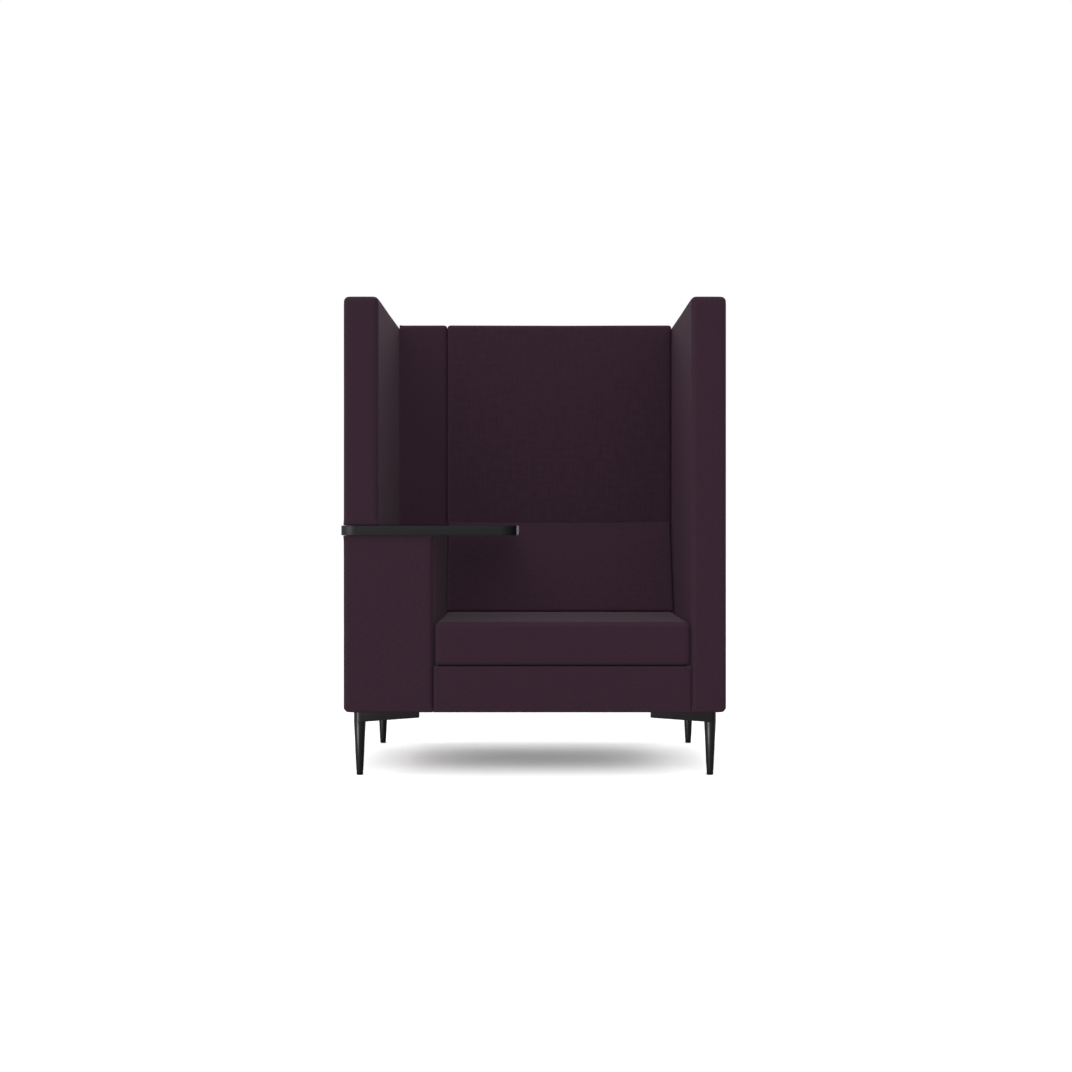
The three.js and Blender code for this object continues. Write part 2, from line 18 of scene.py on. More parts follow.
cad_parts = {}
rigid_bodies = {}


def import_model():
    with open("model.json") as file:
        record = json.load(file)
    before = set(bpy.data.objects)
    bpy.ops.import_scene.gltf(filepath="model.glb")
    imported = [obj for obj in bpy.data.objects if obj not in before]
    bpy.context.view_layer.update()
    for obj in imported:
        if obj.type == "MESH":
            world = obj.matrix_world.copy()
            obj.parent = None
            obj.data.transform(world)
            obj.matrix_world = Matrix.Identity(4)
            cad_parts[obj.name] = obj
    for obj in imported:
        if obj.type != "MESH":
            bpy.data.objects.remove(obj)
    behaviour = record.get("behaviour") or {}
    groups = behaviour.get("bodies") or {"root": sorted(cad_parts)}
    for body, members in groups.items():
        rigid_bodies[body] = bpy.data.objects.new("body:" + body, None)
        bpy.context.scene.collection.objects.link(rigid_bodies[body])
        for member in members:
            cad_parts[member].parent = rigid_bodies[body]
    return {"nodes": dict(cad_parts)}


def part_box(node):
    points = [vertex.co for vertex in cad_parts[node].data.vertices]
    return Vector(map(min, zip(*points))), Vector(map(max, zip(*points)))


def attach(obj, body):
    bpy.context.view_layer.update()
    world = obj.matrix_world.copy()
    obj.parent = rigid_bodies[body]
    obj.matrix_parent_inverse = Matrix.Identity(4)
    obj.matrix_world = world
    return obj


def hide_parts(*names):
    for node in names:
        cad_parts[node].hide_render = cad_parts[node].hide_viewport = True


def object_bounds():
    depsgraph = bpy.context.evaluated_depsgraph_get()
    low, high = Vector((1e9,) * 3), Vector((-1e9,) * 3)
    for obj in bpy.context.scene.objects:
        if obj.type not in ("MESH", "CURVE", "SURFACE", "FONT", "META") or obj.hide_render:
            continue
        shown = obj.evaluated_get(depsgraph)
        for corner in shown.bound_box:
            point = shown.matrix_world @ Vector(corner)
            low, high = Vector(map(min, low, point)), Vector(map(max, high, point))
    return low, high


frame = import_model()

cad_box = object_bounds()
nodes = frame["nodes"]
mm = 0.001
print("CAD nodes:", len(nodes), "box:", [round(v, 4) for corner in cad_box for v in corner])

# %% [markdown]
# Camera
#
# The chair is seen straight from the front, with the eye level with the writing board. The lines that run to
# the back meet at one point, and how fast they close in tells how far away the camera stood: about 4.3 m from
# the front of the seat. That point isn't quite in the middle of the frame, so the lens is shifted a little
# instead of tilted, which keeps every upright edge upright.

# %% Camera
frame_side = 1072
sensor_width = 36.0
focal_pixels = 1504.0
meeting_point = (540.0, 526.3)
camera_place = (0.0197, -4.678, 0.7198)

bpy.ops.object.select_all(action="DESELECT")
bpy.ops.object.camera_add(location=camera_place, rotation=(math.pi / 2, 0, 0))
camera = bpy.context.object
camera.name = "front_camera"
camera.data.sensor_width = sensor_width
camera.data.lens = focal_pixels / frame_side * sensor_width
camera.data.shift_x = (frame_side / 2 - meeting_point[0]) / frame_side
camera.data.shift_y = (meeting_point[1] - frame_side / 2) / frame_side
bpy.context.scene.camera = camera
bpy.context.scene.view_settings.view_transform = "Standard"
print("lens:", round(camera.data.lens, 2), "mm")

# %% [markdown]
# Helpers for colours and nodes
#
# Colours are written as sRGB hex, as a colour picker shows them, and one function turns them to the linear
# values that a shader mixes. A second function adds a node with its settings and what its inputs take, which
# is either a value or another node's output. Two short ones add the nodes that calculate.

# %% Helpers for colours and nodes
def linear(hex_colour):
    values = [int(hex_colour[start:start + 2], 16) / 255 for start in (1, 3, 5)]
    curve = [v / 12.92 if v <= 0.04045 else ((v + 0.055) / 1.055) ** 2.4 for v in values]
    return (*curve, 1.0)


def add_node(tree, kind, inputs=None, **settings):
    made = tree.nodes.new(kind)
    for name, value in settings.items():
        setattr(made, name, value)
    for name, value in (inputs or {}).items():
        if isinstance(value, bpy.types.NodeSocket):
            tree.links.new(value, made.inputs[name])
        else:
            made.inputs[name].default_value = value
    return made


def add_math(tree, operation, *values):
    return add_node(tree, "ShaderNodeMath", dict(enumerate(values)), operation=operation).outputs[0]


def add_vector_math(tree, operation, *values):
    made = add_node(tree, "ShaderNodeVectorMath", dict(enumerate(values)), operation=operation)
    return made.outputs["Value" if operation == "DOT_PRODUCT" else "Vector"]


def own_place(tree):
    return add_node(tree, "ShaderNodeTexCoord").outputs["Object"]


def new_material(name):
    material = bpy.data.materials.new(name)
    material.use_nodes = True
    material.node_tree.nodes.clear()
    return material, material.node_tree

# %% [markdown]
# Light
#
# A studio picture of a dark chair on white needs light from all round, so that no face goes black. The world
# stands for a white room: an even light from all sides, and as much again from the ceiling. A large soft
# fill at the front left and a small one at the right lift the fronts and the inner faces, and two weak ones
# behind give the faces that are seen at a flat angle a cool sheen. The fills cast no shadows, as bounced
# light hardly does, and they are kept off the floor, so that the soft shadow under the chair stays.
#
# The background is white because the world and the floor are white to the camera, and not because more
# light falls on the chair. A retoucher lifts a floor to white and keeps a soft shadow, and the same is done
# here: the camera sees the floor lifted most under the chair, and less and less further out, so that it is
# just white there and no glare eats into the legs.

# %% World
even_light = 0.48
ceiling_light = 0.5
white = linear("#FFFFFF")

world = bpy.data.worlds.new("white_studio")
bpy.context.scene.world = world
world.use_nodes = True
tree = world.node_tree
tree.nodes.clear()
way = add_node(tree, "ShaderNodeTexCoord").outputs["Generated"]
above = add_math(tree, "MAXIMUM", add_vector_math(tree, "DOT_PRODUCT", way, (0, 0, 1)), 0.0)
light_level = add_math(tree, "MULTIPLY_ADD", above, ceiling_light, even_light)
ray = add_node(tree, "ShaderNodeLightPath").outputs
seen = add_math(tree, "MAXIMUM", ray["Is Camera Ray"], ray["Is Glossy Ray"])
seen_through = add_math(tree, "MAXIMUM", seen, ray["Is Transmission Ray"])
room = add_node(tree, "ShaderNodeBackground", {"Strength": light_level})
backdrop = add_node(tree, "ShaderNodeBackground", {"Color": white, "Strength": 1.0})
mixed = add_node(tree, "ShaderNodeMixShader", {0: seen_through, 1: room.outputs[0], 2: backdrop.outputs[0]})
add_node(tree, "ShaderNodeOutputWorld", {"Surface": mixed.outputs[0]})
print("room light:", even_light, "and from above", ceiling_light)

# %% Floor
floor_side = 60.0
lift_below = 4.65
lift_far = 1.6
lift_start = -0.19
lift_width = 0.1

bpy.ops.object.select_all(action="DESELECT")
bpy.ops.mesh.primitive_plane_add(size=floor_side)
floor = bpy.context.object
floor.name = "studio_floor"
floor_paper, tree = new_material("matt_white_studio_floor")
# How far a point lies outside the chair's outline, in metres, with minus inside it.
chair_low, chair_high = Vector(cad_box[0]), Vector(cad_box[1])
from_middle = add_vector_math(tree, "SUBTRACT", own_place(tree), (chair_low + chair_high) / 2)
both_sides = add_vector_math(tree, "ABSOLUTE", from_middle)
beyond = add_vector_math(tree, "SUBTRACT", both_sides, (chair_high - chair_low) / 2)
beyond_parts = add_node(tree, "ShaderNodeSeparateXYZ", {0: beyond}).outputs
outside = add_math(tree, "MAXIMUM", beyond_parts[0], beyond_parts[1])
# The lift is painted light, strongest in the chair's shadow, and it falls off like a bell with long sides,
# from the start of the fall outwards.
steps_out = add_math(tree, "MULTIPLY_ADD", outside, 1 / lift_width, -lift_start / lift_width)
no_less = add_math(tree, "MAXIMUM", steps_out, 0.0)
fading = add_math(tree, "INVERSE_SQRT", add_math(tree, "MULTIPLY_ADD", no_less, no_less, 1.0))
lift = add_math(tree, "MULTIPLY_ADD", fading, lift_below - lift_far, lift_far)
floor_seen = add_node(tree, "ShaderNodeBsdfDiffuse", {"Color": lift})
floor_lit = add_node(tree, "ShaderNodeBsdfDiffuse", {"Color": linear("#E4E4E4")})
to_camera = add_node(tree, "ShaderNodeLightPath").outputs["Is Camera Ray"]
mixed = add_node(tree, "ShaderNodeMixShader", {0: to_camera, 1: floor_lit.outputs[0],
                 2: floor_seen.outputs[0]})
add_node(tree, "ShaderNodeOutputMaterial", {"Surface": mixed.outputs[0]})
floor.data.materials.append(floor_paper)
print("floor lifted", lift_below, "times below the chair and", lift_far, "times far out")

# %% Lamps
def light_group(name, members, state):
    group = bpy.data.collections.new(name)
    for member in members:
        group.objects.link(member)
    for entry in group.collection_objects:
        entry.light_linking.link_state = state
    return group


off_the_floor = light_group("fill_light_misses_the_floor", [floor], "EXCLUDE")


def add_fill(name, towards, strength, soft_angle, lit=off_the_floor):
    bpy.ops.object.light_add(type="SUN")
    lamp = bpy.context.object
    lamp.name = name
    lamp.rotation_euler = Vector(towards).to_track_quat("Z", "Y").to_euler()
    lamp.data.energy = strength
    lamp.data.angle = math.radians(soft_angle)
    lamp.data.use_shadow = False
    lamp.light_linking.receiver_collection = lit
    print(name, "strength", strength)
    return lamp


add_fill("fill_front_left", (-0.78, -0.5, 0.42), 1.6, 40)
fill_right = add_fill("fill_right", (1.0, -0.1, 0.2), 0.47, 40)
rim_back_right = add_fill("rim_back_right", (0.6, 0.8, 0.1), 0.2, 25)
rim_back = add_fill("rim_back", (0.0, 0.9, 0.4), 0.28, 25)

# %% [markdown]
# Helpers for finishes
#
# Most finishes are built alike: a noise that is fixed to the piece varies the colour and the gloss, and the
# same noise or a pattern is the height of a very low bump. So each of these steps has a short function.

# %% Helpers for finishes
def stretch(tree, place, scale):
    return add_node(tree, "ShaderNodeMapping", {"Vector": place, "Scale": scale}).outputs[0]


def add_noise(tree, scale, detail=2.0, place=None):
    inputs = {"Vector": place or own_place(tree), "Scale": scale, "Detail": detail}
    return add_node(tree, "ShaderNodeTexNoise", inputs).outputs[0]


def mix_colours(tree, share, first, second):
    inputs = {"Factor": share, "A": first, "B": second}
    return add_node(tree, "ShaderNodeMix", inputs, data_type="RGBA").outputs["Result"]


def vary(tree, value, low, high):
    return add_node(tree, "ShaderNodeMapRange", {"Value": value, "To Min": low, "To Max": high}).outputs[0]


def add_bump(tree, height, distance, strength=1.0, **below):
    inputs = {"Height": height, "Distance": distance, "Strength": strength, **below}
    return add_node(tree, "ShaderNodeBump", inputs).outputs[0]


def finish_material(tree, inputs):
    shader = add_node(tree, "ShaderNodeBsdfPrincipled", inputs)
    add_node(tree, "ShaderNodeOutputMaterial", {"Surface": shader.outputs["BSDF"]})

# %% [markdown]
# Plum wool cloth
#
# The covers are a woven wool upholstery cloth in a dark plum. Its yarn is spun from dyed fibres of slightly
# different shades, so that no thread is the same colour all along. A photograph of the cloth would carry
# its own light, so the weave is drawn with nodes instead. The pattern lies in the UV map, which holds
# metres of cloth, and it therefore turns with each face as a cut piece of cloth does. Wool is matt, so the
# gloss is low and wide. Two marks on each cover, made with the cover, darken it. Along its seams the cloth is
# a little darker, partly from dust and partly as painted shade, and on the sides that face a neighbour
# painted shade stands for the dark of the groove.

# %% Plum wool cloth
thread_pitch = 2.6 * mm  # the real threads lie 0.9 mm apart, and they are drawn coarser so that they show
slub_length = 14 * mm
slub_width = 2.6 * mm

wool, tree = new_material("plum_wool_plain_weave")
cut_place = add_node(tree, "ShaderNodeUVMap", uv_map="cut_cloth").outputs["UV"]
# Thick and thin places in the yarn, along the warp and along the weft, give the cloth its uneven tone.
warp_place = stretch(tree, cut_place, (1 / slub_width, 1 / slub_length, 1))
weft_place = stretch(tree, cut_place, (1 / slub_length, 1 / slub_width, 1))
slubs = add_math(tree, "ADD", add_noise(tree, 1.0, place=warp_place), add_noise(tree, 1.0, place=weft_place))
tone = add_node(tree, "ShaderNodeMapRange", {"Value": slubs, "From Min": 0.75, "From Max": 1.25}).outputs[0]
shade = mix_colours(tree, tone, linear("#36212E"), linear("#3B2533"))
# A plain weave goes up and down once every two threads, both ways, like a chessboard with soft squares.
turns = add_vector_math(tree, "MULTIPLY", cut_place, (math.pi / thread_pitch,) * 3)
wave = add_node(tree, "ShaderNodeSeparateXYZ", {0: add_vector_math(tree, "SINE", turns)}).outputs
weave = add_math(tree, "MULTIPLY", wave[0], wave[1])
# The stitching pulls the cloth down along each seam, and the seam line gets a faint darkening, partly dust
# and partly painted shade of that dip. The grooves between two modules get a strong painted shade.
for mark_name, share, dark in (("seam", 0.08, "#180E15"), ("groove", 0.85, "#0C070B")):
    mark = add_node(tree, "ShaderNodeAttribute", attribute_name=mark_name).outputs["Fac"]
    shade = mix_colours(tree, add_math(tree, "MULTIPLY", mark, share), shade, linear(dark))
fibres = add_bump(tree, add_math(tree, "ADD", slubs, weave), 0.1 * mm, 0.5)
surface = add_bump(tree, add_noise(tree, 9.0, detail=1.0), 1.0 * mm, 0.5, Normal=fibres)
finish_material(tree, {"Base Color": shade, "Roughness": 0.85, "Specular IOR Level": 0.2, "Normal": surface})
print("weave repeats every", round(2 * thread_pitch / mm, 1), "mm")

# %% [markdown]
# Black laminate of the board
#
# The board is a plywood or fibre board faced with a black high pressure laminate. Its press plate leaves a
# very fine grain in the resin, so the sheet looks satin: it shows a broad soft reflection and no mirror
# image.

# %% Black laminate
laminate_grain = 0.7 * mm

laminate, tree = new_material("black_high_pressure_laminate")
grain = add_noise(tree, 1 / laminate_grain)
satin = vary(tree, add_noise(tree, 14.0, detail=4.0), 0.46, 0.54)
depth = mix_colours(tree, grain, linear("#111112"), linear("#161617"))
pressed = add_bump(tree, grain, 0.03 * mm, 0.5)
finish_material(tree, {"Base Color": depth, "Roughness": satin, "IOR": 1.2, "Normal": pressed})
print("laminate grain", round(laminate_grain / mm, 1), "mm")

# %% [markdown]
# Black powder coat of the legs and brackets
#
# The steel legs and their brackets are sprayed with a black polyester powder and baked. The powder melts into
# a skin with a faint orange peel, about a millimetre from bump to bump, and a low satin gloss.

# %% Black powder coat
peel_size = 0.9 * mm

coated_steel, tree = new_material("black_powder_coated_steel")
gloss = vary(tree, add_noise(tree, 25.0, detail=3.0), 0.32, 0.4)
skin = add_bump(tree, add_noise(tree, 1 / peel_size, detail=1.0), 0.05 * mm, 0.5)
finish_material(tree, {"Base Color": linear("#0F0F10"), "Roughness": gloss, "IOR": 1.2, "Normal": skin})
print("orange peel", round(peel_size / mm, 1), "mm")

# %% [markdown]
# Moulded plastic of the feet
#
# The levelling feet are injection moulded nylon. The mould is spark eroded, which leaves an even matt grain.

# %% Moulded plastic
spark_grain = 0.5 * mm

nylon, tree = new_material("black_moulded_nylon")
grainy = add_bump(tree, add_noise(tree, 1 / spark_grain), 0.04 * mm, 0.6)
finish_material(tree, {"Base Color": linear("#131313"), "Roughness": 0.6, "Specular IOR Level": 0.15,
                       "Normal": grainy})
print("spark erosion grain", round(spark_grain / mm, 1), "mm")

# %% [markdown]
# Zinc plated steel of the screws and bolts
#
# The fasteners are steel with a thin bright zinc layer that was passivated, which gives it a pale, slightly
# bluish and yellowish bloom and a soft metal gloss.

# %% Zinc plated steel
bloom_size = 4 * mm

zinc, tree = new_material("zinc_plated_steel")
bloom = add_noise(tree, 1 / bloom_size, detail=3.0)
plated = mix_colours(tree, bloom, linear("#B4B8BE"), linear("#C9C6B8"))
finish_material(tree, {"Base Color": plated, "Metallic": 1.0, "Roughness": vary(tree, bloom, 0.25, 0.45)})
print("zinc bloom", round(bloom_size / mm, 1), "mm")

# %% [markdown]
# Timber of the frames
#
# The hidden frames are sawn softwood boards, glued and stapled. Sawn pine shows bands of early and late wood
# a few millimetres apart that run along the board, with fine fibres between them.

# %% Softwood
ring_width = 6 * mm
ring_stretch = 0.08

softwood, tree = new_material("sawn_softwood")
along = stretch(tree, own_place(tree), (1.0, 1.0, ring_stretch))
rings = add_noise(tree, 1 / ring_width, detail=4.0, place=along)
wood = mix_colours(tree, rings, linear("#B98C58"), linear("#E0C08E"))
sawn = add_bump(tree, rings, 0.2 * mm, 0.5)
finish_material(tree, {"Base Color": wood, "Roughness": 0.7, "Normal": sawn})
print("growth rings", round(ring_width / mm, 1), "mm")

# %% [markdown]
# Elastic webbing and the lining under the seat
#
# The seat is sprung by woven elastic webbing with ribs that run along it. Under it a thin black non-woven
# lining keeps dust out. Its fibres are pressed together in a grid of small points, which look like pinpricks.

# %% Webbing
rib_width = 3 * mm
wave_share = 0.3

webbing, tree = new_material("woven_elastic_webbing")
rib_wave = {"Vector": own_place(tree), "Scale": wave_share / rib_width}
ribs = add_node(tree, "ShaderNodeTexWave", rib_wave, bands_direction="X").outputs["Fac"]
woven = mix_colours(tree, ribs, linear("#22201E"), linear("#4A4640"))
finish_material(tree, {"Base Color": woven, "Roughness": 0.8, "Specular IOR Level": 0.2,
                       "Normal": add_bump(tree, ribs, 0.4 * mm)})
print("webbing ribs", round(rib_width / mm, 1), "mm")

# %% Lining cloth
point_step = 3 * mm
fleece_size = 5 * mm

lining, tree = new_material("black_nonwoven_lining")
point_grid = {"Vector": own_place(tree), "Scale": 1 / point_step, "Randomness": 0.15}
points = add_node(tree, "ShaderNodeTexVoronoi", point_grid).outputs["Distance"]
pressed = add_math(tree, "MULTIPLY", points, add_noise(tree, 1 / fleece_size, detail=4.0))
felted = mix_colours(tree, pressed, linear("#161617"), linear("#2C2C2D"))
finish_material(tree, {"Base Color": felted, "Roughness": 0.9, "Specular IOR Level": 0.1,
                       "Normal": add_bump(tree, points, 0.2 * mm)})
print("pressed points", round(point_step / mm, 1), "mm")

# %% [markdown]
# Helpers for the pieces
#
# Every piece starts as a primitive at its size and place. Its place is then put into its mesh, so that the
# object itself stays at the origin. In edit mode, edges and faces are selected in code by where they lie.

# %% Start and edit a piece
nearby = 0.5 * mm  # points this close to a height count as being at it
just_under_share = 0.999


def select_only(piece):
    bpy.ops.object.select_all(action="DESELECT")
    piece.select_set(True)
    bpy.context.view_layer.objects.active = piece


def start_block(name, low, high):
    bpy.ops.object.select_all(action="DESELECT")
    low, high = Vector(low), Vector(high)
    bpy.ops.mesh.primitive_cube_add(size=1, location=(low + high) / 2)
    piece = bpy.context.object
    piece.name = name
    piece.data.name = name
    piece.scale = high - low
    bpy.ops.object.transform_apply(location=True, rotation=False, scale=True)
    return piece


def start_round(name, add_primitive, centre, bottom, height, **sizes):
    bpy.ops.object.select_all(action="DESELECT")
    add_primitive(depth=height, location=(*centre, bottom + height / 2), **sizes)
    piece = bpy.context.object
    piece.name = name
    bpy.ops.object.transform_apply(location=True, rotation=False, scale=True)
    return piece


def edit(piece):
    select_only(piece)
    bpy.ops.object.mode_set(mode="EDIT")


def pick_edges(piece, test):
    bpy.ops.mesh.select_mode(type="EDGE")
    bpy.ops.mesh.select_all(action="DESELECT")
    mesh = bmesh.from_edit_mesh(piece.data)
    for edge in mesh.edges:
        if test(edge.verts[0].co, edge.verts[1].co, edge):
            edge.select_set(True)
    bmesh.update_edit_mesh(piece.data)


def pick_faces(piece, test):
    bpy.ops.mesh.select_mode(type="FACE")
    bpy.ops.mesh.select_all(action="DESELECT")
    mesh = bmesh.from_edit_mesh(piece.data)
    for face in mesh.faces:
        if test(face.calc_center_median(), face.normal):
            face.select_set(True)
    bmesh.update_edit_mesh(piece.data)


def bevel_picked(size, segments):
    bpy.ops.mesh.bevel(offset=size, segments=segments, profile=0.5, affect="EDGES")


def extrude_picked(x, y, z):
    bpy.ops.mesh.extrude_region_move(TRANSFORM_OT_translate={"value": (x, y, z)})

# %% Shape, copy and finish a piece
def corners(piece):
    places = np.empty(len(piece.data.vertices) * 3)
    piece.data.vertices.foreach_get("co", places)
    return places.reshape(-1, 3)


def set_corners(piece, places):
    piece.data.vertices.foreach_set("co", places.ravel())
    piece.data.update()


def apply_modifier(piece, kind, **settings):
    bpy.context.view_layer.objects.active = piece
    bpy.ops.object.modifier_add(type=kind)
    modifier = piece.modifiers[-1]
    for name, value in settings.items():
        setattr(modifier, name, value)
    bpy.ops.object.modifier_apply(modifier=modifier.name)


def smooth_below(piece, degrees):
    # Edges with a sharper turn than this stay sharp.
    select_only(piece)
    bpy.ops.object.shade_smooth_by_angle(angle=math.radians(degrees))


def duplicate(piece, name):
    twin = piece.copy()
    twin.data = piece.data.copy()
    twin.name = name
    twin.data.name = name
    bpy.context.scene.collection.objects.link(twin)
    return twin


def middle_of(node_name):
    low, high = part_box(node_name)
    return ((low[0] + high[0]) / 2, (low[1] + high[1]) / 2)


def finish_piece(piece, material, slot, body, *replaced):
    select_only(piece)
    piece.data.materials.clear()
    piece.data.materials.append(material)
    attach(piece, body)
    if replaced:
        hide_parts(*replaced)
    print(piece.name, "faces:", len(piece.data.polygons))

# %% [markdown]
# How a cover is made
#
# An upholsterer sews a cover from flat pieces of cloth: two large faces and a band between them, with a seam
# all round each face. It is pulled over foam, and the foam's pressure rounds it. The same happens here. A
# block gets round edges and an even grid, and Cloth blows it up from inside. The move is then scaled to a
# few millimetres, because a cloth stretched over a frame crowns no more than that.
#
# A block is its lower corner, its upper corner and the radius of its edges. A side is written as its axis
# and the way it faces, so x- is the left one. Each point of the rounded block is a point of its core, which
# lies a radius inside it, and a step outwards from there. How far that step leans to a side tells what the
# cloth does at the point: whether a seam runs there, whether it hides in a groove and how square its edge
# is.

# %% Cut the block
cover_segments = 4


def cut_block(name, block, cell):
    low, high, radius = block
    piece = start_block(name, low, high)
    edit(piece)
    bpy.ops.mesh.select_all(action="SELECT")
    bevel_picked(radius, cover_segments)
    # One ring of cuts for each direction makes cells of an even size on all faces.
    for axis in range(3):
        flat = (high[axis] - low[axis] - 2 * radius) * just_under_share
        pick_edges(piece, lambda a, b, edge: abs(b[axis] - a[axis]) > flat)
        bpy.ops.mesh.subdivide(number_cuts=max(1, round(flat / cell) - 1))
    bpy.ops.object.mode_set(mode="OBJECT")
    return piece


def step_outwards(places, block):
    low, high, radius = block
    core = np.clip(places, low + radius, high - radius)
    return core, places - core


def axis_and_way(side):
    return "xyz".index(side[0]), 1 if side[1] == "+" else -1


def leans_to(lean, side):
    axis, way = axis_and_way(side)
    return np.clip(lean[:, axis] * way, 0, 1)

# %% Marks for seams and grooves
painted_shade_fade_depth = 25 * mm
turn_share = 0.25
seam_slack_share = 0.03
least_step_share = 0.3


def write_mark(piece, name, domain, values):
    mark = piece.data.attributes.new(name, "FLOAT", domain)
    mark.data.foreach_set("value", values)


def mark_seams(piece, places, block, big_axis):
    # Round each large face the seam runs along the middle of the rounded edge.
    step = np.abs(step_outwards(places, block)[1])
    radius = block[2]
    widest = np.delete(step, big_axis, axis=1).max(axis=1)
    level = np.abs(step[:, big_axis] - widest) < seam_slack_share * radius
    on_seam = level & (widest > least_step_share * radius)
    write_mark(piece, "seam", "POINT", on_seam.astype(float))
    return int(on_seam.sum())


def mark_painted_groove_shade(piece, places, block, hidden, turn):
    # A hidden side gets painted shade from where the cloth turns to the neighbour, and the painted shade fades
    # out inside the groove.
    low, high, radius = block
    lean = step_outwards(places, block)[1] / radius
    inside = np.minimum(places - low, high - places)
    dark = np.zeros(len(places))
    for side in hidden:
        axis, way = axis_and_way(side)
        turned = np.clip((lean[:, axis] * way - turn) / turn_share, 0, 1)
        depth = np.delete(inside, axis, axis=1).min(axis=1)
        dark = np.maximum(dark, turned * (1 - np.clip((depth - radius) / painted_shade_fade_depth, 0, 1)))
    write_mark(piece, "groove", "POINT", dark)

# %% Square edges
edge_gain = 2.5
firm_start_share = 0.2
firm_run = 60 * mm
ridge_share = 0.9


def press_edges(square, block, tight, soft, firm, squareness):
    # An edge of a tight side is squarer than a free one: the higher the power, the squarer the edge.
    # The edge between the two soft sides stays round. The one between the firm sides is a little squarer,
    # which comes in over a short run from its front end.
    low, high, radius = block
    core, step = step_outwards(square, block)
    lean = step / radius
    pressed = np.max([leans_to(lean, side) for side in tight], axis=0) if tight else np.zeros(len(square))
    if soft:
        between = np.min([leans_to(lean, side) for side in soft], axis=0)
        pressed = pressed * (1 - np.minimum(1, edge_gain * between))
    power = 2 + squareness * np.minimum(1, edge_gain * pressed)
    if firm:
        *firm_sides, extra = firm
        between = np.min([leans_to(lean, side) for side in firm_sides], axis=0)
        along = np.clip(firm_start_share + (core[:, 1] - low[1] - radius) / firm_run, 0, 1)
        power += extra * along * np.minimum(1, edge_gain * between)
    length = (np.abs(lean) ** power[:, None]).sum(axis=1) ** (1 / power)
    return core + lean * radius / np.maximum(length, 1e-6)[:, None]


def crease_ridges(piece, square, block, tight):
    # The pressed edges are creased, so that the subdivision doesn't round them again.
    lean = step_outwards(square, block)[1] / block[2]
    on_ridge = np.zeros(len(square), bool)
    for side in tight:
        axis, way = axis_and_way(side)
        outwards = lean[:, axis] * way > ridge_share
        sideways = np.delete(np.abs(lean), axis, axis=1).max(axis=1) > ridge_share
        on_ridge |= outwards & sideways
    ends = np.empty(len(piece.data.edges) * 2, int)
    piece.data.edges.foreach_get("vertices", ends)
    creased = on_ridge[ends.reshape(-1, 2)].all(axis=1)
    write_mark(piece, "crease_edge", "EDGE", creased.astype(float))
    return int(creased.sum())

# %% Blow up, hold and sew
cloth_pressure = 4.0
cloth_steps = 20
hold_run = 30 * mm
seam_depth = 0.25 * mm


def blow_up(piece, crown):
    # The simulated move is scaled so that the furthest point moves by the crown.
    rest = corners(piece)
    bpy.ops.object.modifier_add(type="CLOTH")
    cloth = piece.modifiers[-1]
    cloth.settings.use_pressure = True
    cloth.settings.uniform_pressure_force = cloth_pressure
    cloth.settings.effector_weights.gravity = 0.0
    for step in range(1, cloth_steps + 1):
        bpy.context.scene.frame_set(step)
    bpy.ops.object.modifier_apply(modifier=cloth.name)
    bpy.context.scene.frame_set(1)
    move = corners(piece) - rest
    furthest = np.linalg.norm(move, axis=1).max()
    set_corners(piece, rest + move * crown / furthest)
    return rest, furthest


def hold_sides(rest, places, block, sides):
    # A held side keeps its plane, and the hold fades out over a short run of the cloth beside it.
    low, high, radius = block
    move = places - rest
    for side in sides:
        axis, way = axis_and_way(side)
        away = high[axis] - rest[:, axis] if way > 0 else rest[:, axis] - low[axis]
        move[:, axis] *= np.clip(away / hold_run, 0, 1)
    return rest + move


def sew(piece):
    # One subdivision rounds the grid, and then the seam line is pulled in along the normals.
    apply_modifier(piece, "SUBSURF", levels=1, render_levels=1)
    marks = np.empty(len(piece.data.vertices))
    piece.data.attributes["seam"].data.foreach_get("value", marks)
    normals = np.array([vertex.normal[:] for vertex in piece.data.vertices])
    set_corners(piece, corners(piece) - normals * seam_depth * marks[:, None])


def lay_out_cloth(piece):
    # Each face is projected square on, and one unit of the map is one metre of cloth.
    piece.data.uv_layers.new(name="cut_cloth")
    edit(piece)
    bpy.ops.mesh.select_all(action="SELECT")
    bpy.ops.uv.cube_project(cube_size=1.0, correct_aspect=False)
    bpy.ops.object.mode_set(mode="OBJECT")
    bpy.ops.object.shade_smooth()

# %% Make a cover
def make_cover(stem, low, high, radius, crown, cell, big_axis, fill, tight, mates, hidden,
               turn=0.72, soft=(), firm=(), squareness=28, shape=None, relax=None):
    block = (np.array(low), np.array(high), radius)
    piece = cut_block(stem + "_upholstery", block, cell)
    square = corners(piece)
    seam_points = mark_seams(piece, square, block, big_axis)
    # Painted shade goes into the grooves of the hidden sides.
    mark_painted_groove_shade(piece, square, block, hidden, turn)
    square = press_edges(square, block, tight, soft, firm, squareness)
    creases = crease_ridges(piece, square, block, tight)
    set_corners(piece, shape(square, block) if shape else square)
    rest, furthest = blow_up(piece, crown)
    blown = hold_sides(rest, corners(piece), block, [*tight, *mates])
    set_corners(piece, relax(blown) if relax else blown)
    sew(piece)
    lay_out_cloth(piece)
    finish_piece(piece, wool, "plum_fabric", "chair", stem + "_cover", stem + "_foam")
    print(piece.name, "seam points:", seam_points, "creases:", creases, "blown up by", round(furthest / mm),
          "mm, kept", round(crown / mm, 1), "mm")
